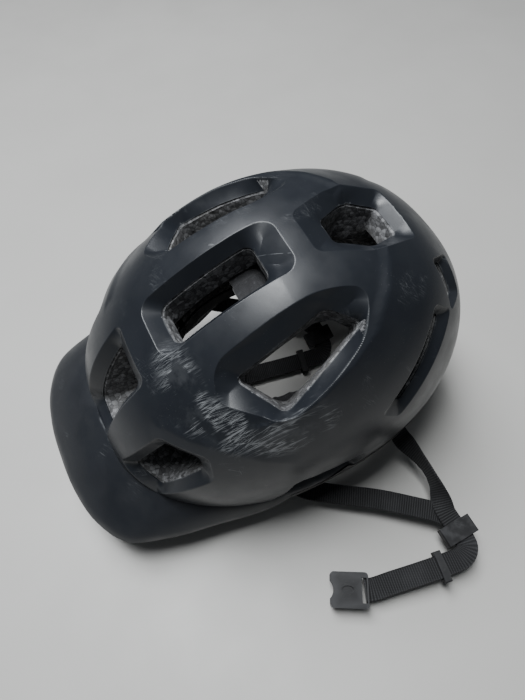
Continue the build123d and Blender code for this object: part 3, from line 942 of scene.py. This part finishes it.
# The right rear strap lies flat under the headband: only its first points rise to the anchor.
FLAT_REAR_PATH = REAR_PATH[:2] + [(y, away, 0, 0) for y, away, _, _ in REAR_PATH[2:]]


def strap_axes(side):
    """Origin of the strap plane, its directions to the rear and away, and its upper side."""
    sign = 1 if side == "left" else -1
    slope = math.radians(SLOPE[side])
    rearward = np.array([0.0, math.cos(LINE_TILT), -math.sin(LINE_TILT)])
    below = np.cross(rearward, [math.cos(slope), 0.0, -math.sin(slope)])
    below /= np.linalg.norm(below)
    away = np.cross(below, rearward)
    return np.array([sign * STRAP_LINE[0], 0.0, STRAP_LINE[1]]), rearward, away, -below


def spread_path(path, step=0.8):
    """Closely and evenly spread stations along a strap's path."""
    every = np.array(path, float)
    lengths = np.concatenate([[0], np.cumsum(np.linalg.norm(np.diff(every[:, :2], axis=0), axis=1))])
    slopes = np.zeros_like(every)
    slopes[1:-1] = (every[2:] - every[:-2]) / (lengths[2:] - lengths[:-2])[:, None]
    slopes[0] = (every[1] - every[0]) / (lengths[1] - lengths[0])
    slopes[-1] = (every[-1] - every[-2]) / (lengths[-1] - lengths[-2])
    places = np.arange(0, lengths[-1], step)
    return np.array([curve_point(every, lengths, slopes, place) for place in places])


def strap_section():
    """Flat oval section of the webbing with a groove beside each selvedge."""
    half = STRAP_WIDTH / 2
    selvedge = [(-half + 0.5, 1.0), (-half + 1.1, 0.82), (-half + 2.2, 1.0)]
    middle = [(u, 1.0) for u in np.linspace(-half + 4, half - 4, 5)]
    tops = selvedge + middle + [(-u, w) for u, w in reversed(selvedge)]
    return [(-half, 0.0)] + tops + [(half, 0.0)] + [(u, -w) for u, w in reversed(tops)]


def webbing(name, side, path, layer, node):
    """Ribbed strap swept along a path, with a rounded flat section that can twist."""
    origin, ahead, away, above = strap_axes(side)
    spread = spread_path(path)
    centre = origin + spread[:, :1] * ahead + spread[:, 1:2] * away
    centre = centre + above * (spread[:, 2:3] + layer * LAYER_STEP + FIRST_LAYER)
    forward = np.gradient(centre, axis=0)
    forward /= np.linalg.norm(forward, axis=1)[:, None]
    flat = np.cross(above, forward)
    flat /= np.linalg.norm(flat, axis=1)[:, None]
    up = np.cross(forward, flat)
    twist = np.radians(spread[:, 3:4])
    across = flat * np.cos(twist) + up * np.sin(twist)
    thick = up * np.cos(twist) - flat * np.sin(twist)
    lengths = np.concatenate([[0], np.cumsum(np.linalg.norm(np.diff(centre, axis=0), axis=1))])
    ring = strap_section()
    points, along_values, across_values = [], [], []
    for i in range(len(centre)):
        rib = 1.0 + RIB_HEIGHT * math.cos(2 * math.pi * lengths[i] / RIB_PITCH)
        for u, w in ring:
            points.append(centre[i] + across[i] * u + thick[i] * w * STRAP_WALL / 2 * rib)
            along_values.append(lengths[i] * MM)
            across_values.append(u * MM)
    count = len(ring)
    last = (len(centre) - 1) * count
    faces = [tuple(reversed(range(count))), tuple(range(last, last + count))]
    for i in range(len(centre) - 1):
        for j in range(count):
            k = (j + 1) % count
            faces.append((i * count + j, i * count + k, (i + 1) * count + k, (i + 1) * count + j))
    piece = new_mesh(name, points, faces, WEBBING, 50)
    add_layer(piece, "along", along_values)
    add_layer(piece, "across", across_values)
    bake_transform(piece)
    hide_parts(node)


def strap_pieces():
    """The front and rear straps of each side, one above the other at the divider."""
    for side in ("left", "right"):
        webbing(side + "_front_webbing", side, FRONT_PATH, 0, side + "_front_strap")
        rear_path = REAR_PATH if side == "left" else FLAT_REAR_PATH
        webbing(side + "_rear_webbing", side, rear_path, 1, side + "_rear_strap")


# ---------------------------------------------------------------- pads
PAD_VOXEL = 2.4
PAD_SHRINK = 0.5
PAD_SWELL_LIMIT = 1.5
CHANNEL_WIDTH = 2.2
CHANNEL_SINK = 1.1
PRESSURE = 4.0
SWELL_FRAMES = 20
WELD = 1e-6
# Each pad rides on a body and is stitched at levels along an axis (0 for X, 1 for Y).
PADS = {
    "brow_pad": ("helmet", [(0, -52), (0, -18), (0, 18), (0, 52)]),
    "crown_pad": ("helmet", [(0, -9), (0, 9)]),
    "left_side_pad": ("helmet", [(1, -12), (1, 14)]),
    "right_side_pad": ("helmet", [(1, -12), (1, 14)]),
    "cradle_nape_pad": ("cradle", [(0, -8), (0, 8)]),
}


def baked(piece):
    """Replaces a piece's mesh by its shape after modifiers."""
    depsgraph = bpy.context.evaluated_depsgraph_get()
    mesh = bpy.data.meshes.new_from_object(piece.evaluated_get(depsgraph))
    piece.modifiers.clear()
    piece.data = mesh


def coordinates(mesh):
    """Vertex places of a mesh as rows of three."""
    flat = np.empty(len(mesh.vertices) * 3)
    mesh.vertices.foreach_get("co", flat)
    return flat.reshape(-1, 3)


def padded(node, body, channels):
    """Sewn cushion: its CAD block remeshed, swelled as cloth and stitched down in channels."""
    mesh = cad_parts[node].data.copy()
    piece = bpy.data.objects.new(node + "_cushion", mesh)
    bpy.context.scene.collection.objects.link(piece)
    work = bmesh.new()
    work.from_mesh(mesh)
    bmesh.ops.remove_doubles(work, verts=work.verts, dist=WELD)
    bmesh.ops.recalc_face_normals(work, faces=work.faces)
    work.normal_update()
    for vertex in work.verts:
        vertex.co -= vertex.normal * PAD_SHRINK * MM
    work.to_mesh(mesh)
    work.free()
    remesh = piece.modifiers.new("remesh", "REMESH")
    remesh.mode = "VOXEL"
    remesh.voxel_size = PAD_VOXEL * MM
    baked(piece)
    swell(piece)
    smooth = piece.modifiers.new("smooth", "SUBSURF")
    smooth.levels = smooth.render_levels = 1
    baked(piece)
    sew(piece, channels)
    piece.data.materials.clear()
    piece.data.materials.append(FABRIC)
    piece.data.polygons.foreach_set("use_smooth", [True] * len(piece.data.polygons))
    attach(piece, body)
    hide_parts(node)


def swell(piece):
    """Lets the cushion swell as cloth under pressure, by no more than its limit."""
    start = coordinates(piece.data)
    cloth = piece.modifiers.new("cloth", "CLOTH")
    cloth.settings.use_pressure = True
    cloth.settings.uniform_pressure_force = PRESSURE
    cloth.settings.effector_weights.gravity = 0.0
    cloth.point_cache.frame_start = 1
    cloth.point_cache.frame_end = SWELL_FRAMES
    for step in range(1, SWELL_FRAMES + 1):
        bpy.context.scene.frame_set(step)
    baked(piece)
    bpy.context.scene.frame_set(1)
    move = coordinates(piece.data) - start
    reach = np.linalg.norm(move, axis=1)
    move *= np.minimum(1, PAD_SWELL_LIMIT * MM / np.maximum(reach, 1e-9))[:, None]
    piece.data.vertices.foreach_set("co", (start + move).ravel())
    piece.data.update()


def sew(piece, channels):
    """Sinks stitched channels across the cushion and marks them for the fabric."""
    points = coordinates(piece.data)
    normals = np.empty(len(points) * 3)
    piece.data.vertices.foreach_get("normal", normals)
    seam = np.zeros(len(points))
    for axis, level in channels:
        distance = np.abs(points[:, axis] / MM - level)
        seam = np.maximum(seam, np.clip(1 - distance / CHANNEL_WIDTH, 0, 1))
    points -= normals.reshape(-1, 3) * (seam ** 0.7 * CHANNEL_SINK * MM)[:, None]
    piece.data.vertices.foreach_set("co", points.ravel())
    piece.data.update()
    add_layer(piece, "seam", seam)


# ---------------------------------------------------------------- floor, light and camera
UP = Vector((-0.1301, 0.1345, 0.9823)).normalized()
FLOOR_LEVEL = -82.0
FLOOR_REACH = 6.0
CAMERA_PLACE = Vector((158.1, -56.0, 349.6))
CAMERA_RIGHT = Vector((0.4583, 0.8831, -0.1008))
CAMERA_DOWN = Vector((0.7924, -0.4573, -0.4037))
CAMERA_FORWARD = Vector((-0.4026, 0.1051, -0.9093))
SENSOR_HEIGHT = 36.0
LENS = 25.7
LIGHT_TARGET = (0, 0, 0.05)


def floor_material():
    s = Surface("pale_floor")
    colour = s.mix(s.noise(4.0, 4.0), (0.42, 0.41, 0.39), (0.48, 0.47, 0.45))
    s.bump(s.noise(300.0, 4.0), 0.0001, 0.3)
    return s.finish(colour, s.ramp(s.noise(12.0), 0.3, 0.7, 0.45, 0.55))


def floor():
    """Plain pale floor, at the level and lean on which the helmet stands."""
    side = Vector((0, 1, 0)).cross(UP).normalized()
    ahead = UP.cross(side)
    corners = [(-1, -1), (1, -1), (1, 1), (-1, 1)]
    centre = UP * FLOOR_LEVEL * MM
    points = [(centre + side * a * FLOOR_REACH + ahead * b * FLOOR_REACH) / MM for a, b in corners]
    stage = new_mesh("floor", points, [(0, 1, 2, 3)], floor_material())


def soft_light(name, place, size, power, colour):
    """Rectangular light that faces the helmet. Places and sizes are in metres."""
    data = bpy.data.lights.new(name, "AREA")
    data.shape = "RECTANGLE"
    data.size, data.size_y = size
    data.energy = power
    data.color = colour
    lamp = bpy.data.objects.new(name, data)
    bpy.context.scene.collection.objects.link(lamp)
    lamp.location = place
    lamp.rotation_euler = (Vector(LIGHT_TARGET) - Vector(place)).to_track_quat("-Z", "Y").to_euler()


def camera():
    """Camera above and ahead of the wearer's left."""
    data = bpy.data.cameras.new("camera")
    data.sensor_fit = "VERTICAL"
    data.sensor_height = SENSOR_HEIGHT
    data.lens = LENS
    eye = bpy.data.objects.new("camera", data)
    bpy.context.scene.collection.objects.link(eye)
    turn = Matrix((CAMERA_RIGHT, -CAMERA_DOWN, -CAMERA_FORWARD)).transposed()
    eye.matrix_world = Matrix.Translation(CAMERA_PLACE * MM) @ turn.to_4x4()
    bpy.context.scene.camera = eye


def world_light(strength):
    """Even, slightly cool light from all round."""
    world = bpy.data.worlds.new("studio")
    bpy.context.scene.world = world
    world.use_nodes = True
    back = world.node_tree.nodes["Background"]
    back.inputs["Color"].default_value = (0.86, 0.93, 1.0, 1.0)
    back.inputs["Strength"].default_value = strength


shell_pieces()
foam_piece()
visor_piece()

strap_pieces()
for pad, (pad_body, pad_channels) in PADS.items():
    padded(pad, pad_body, pad_channels)

# CAD nodes that keep their shape, and their materials.
KEPT = {
    "pad_hook_patches": HOOKS, "strap_anchor_caps": NYLON, "headband_temple_pins": NYLON,
    "rear_cradle": NYLON, "gear_cover": NYLON, "fit_dial_knob": DIAL, "fit_dial_pinion": GEAR,
    "left_strap_divider": NYLON, "right_strap_divider": NYLON,
    "left_keeper_ring": KEEPER, "right_keeper_ring": KEEPER,
    "buckle_socket": GLOSS, "buckle_plug_base": GLOSS,
    "buckle_plug_front_prong": GLOSS, "buckle_plug_rear_prong": GLOSS,
    "left_headband": NYLON, "right_headband": NYLON,
}
KEPT_ROUNDING = 0.35
for node, material in KEPT.items():
    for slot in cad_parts[node].material_slots:
        slot.material = material
    if material is not HOOKS:
        round_edges(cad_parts[node], KEPT_ROUNDING)

floor()
camera()
world_light(0.09)
soft_light("window", place=(-1.0, 0.0, 1.45), size=(0.9, 0.7), power=30.0, colour=(0.93, 0.96, 1.0))
soft_light("ceiling", place=(-0.3, 0.0, 1.5), size=(0.5, 0.6), power=27.0, colour=(0.95, 0.98, 1.0))
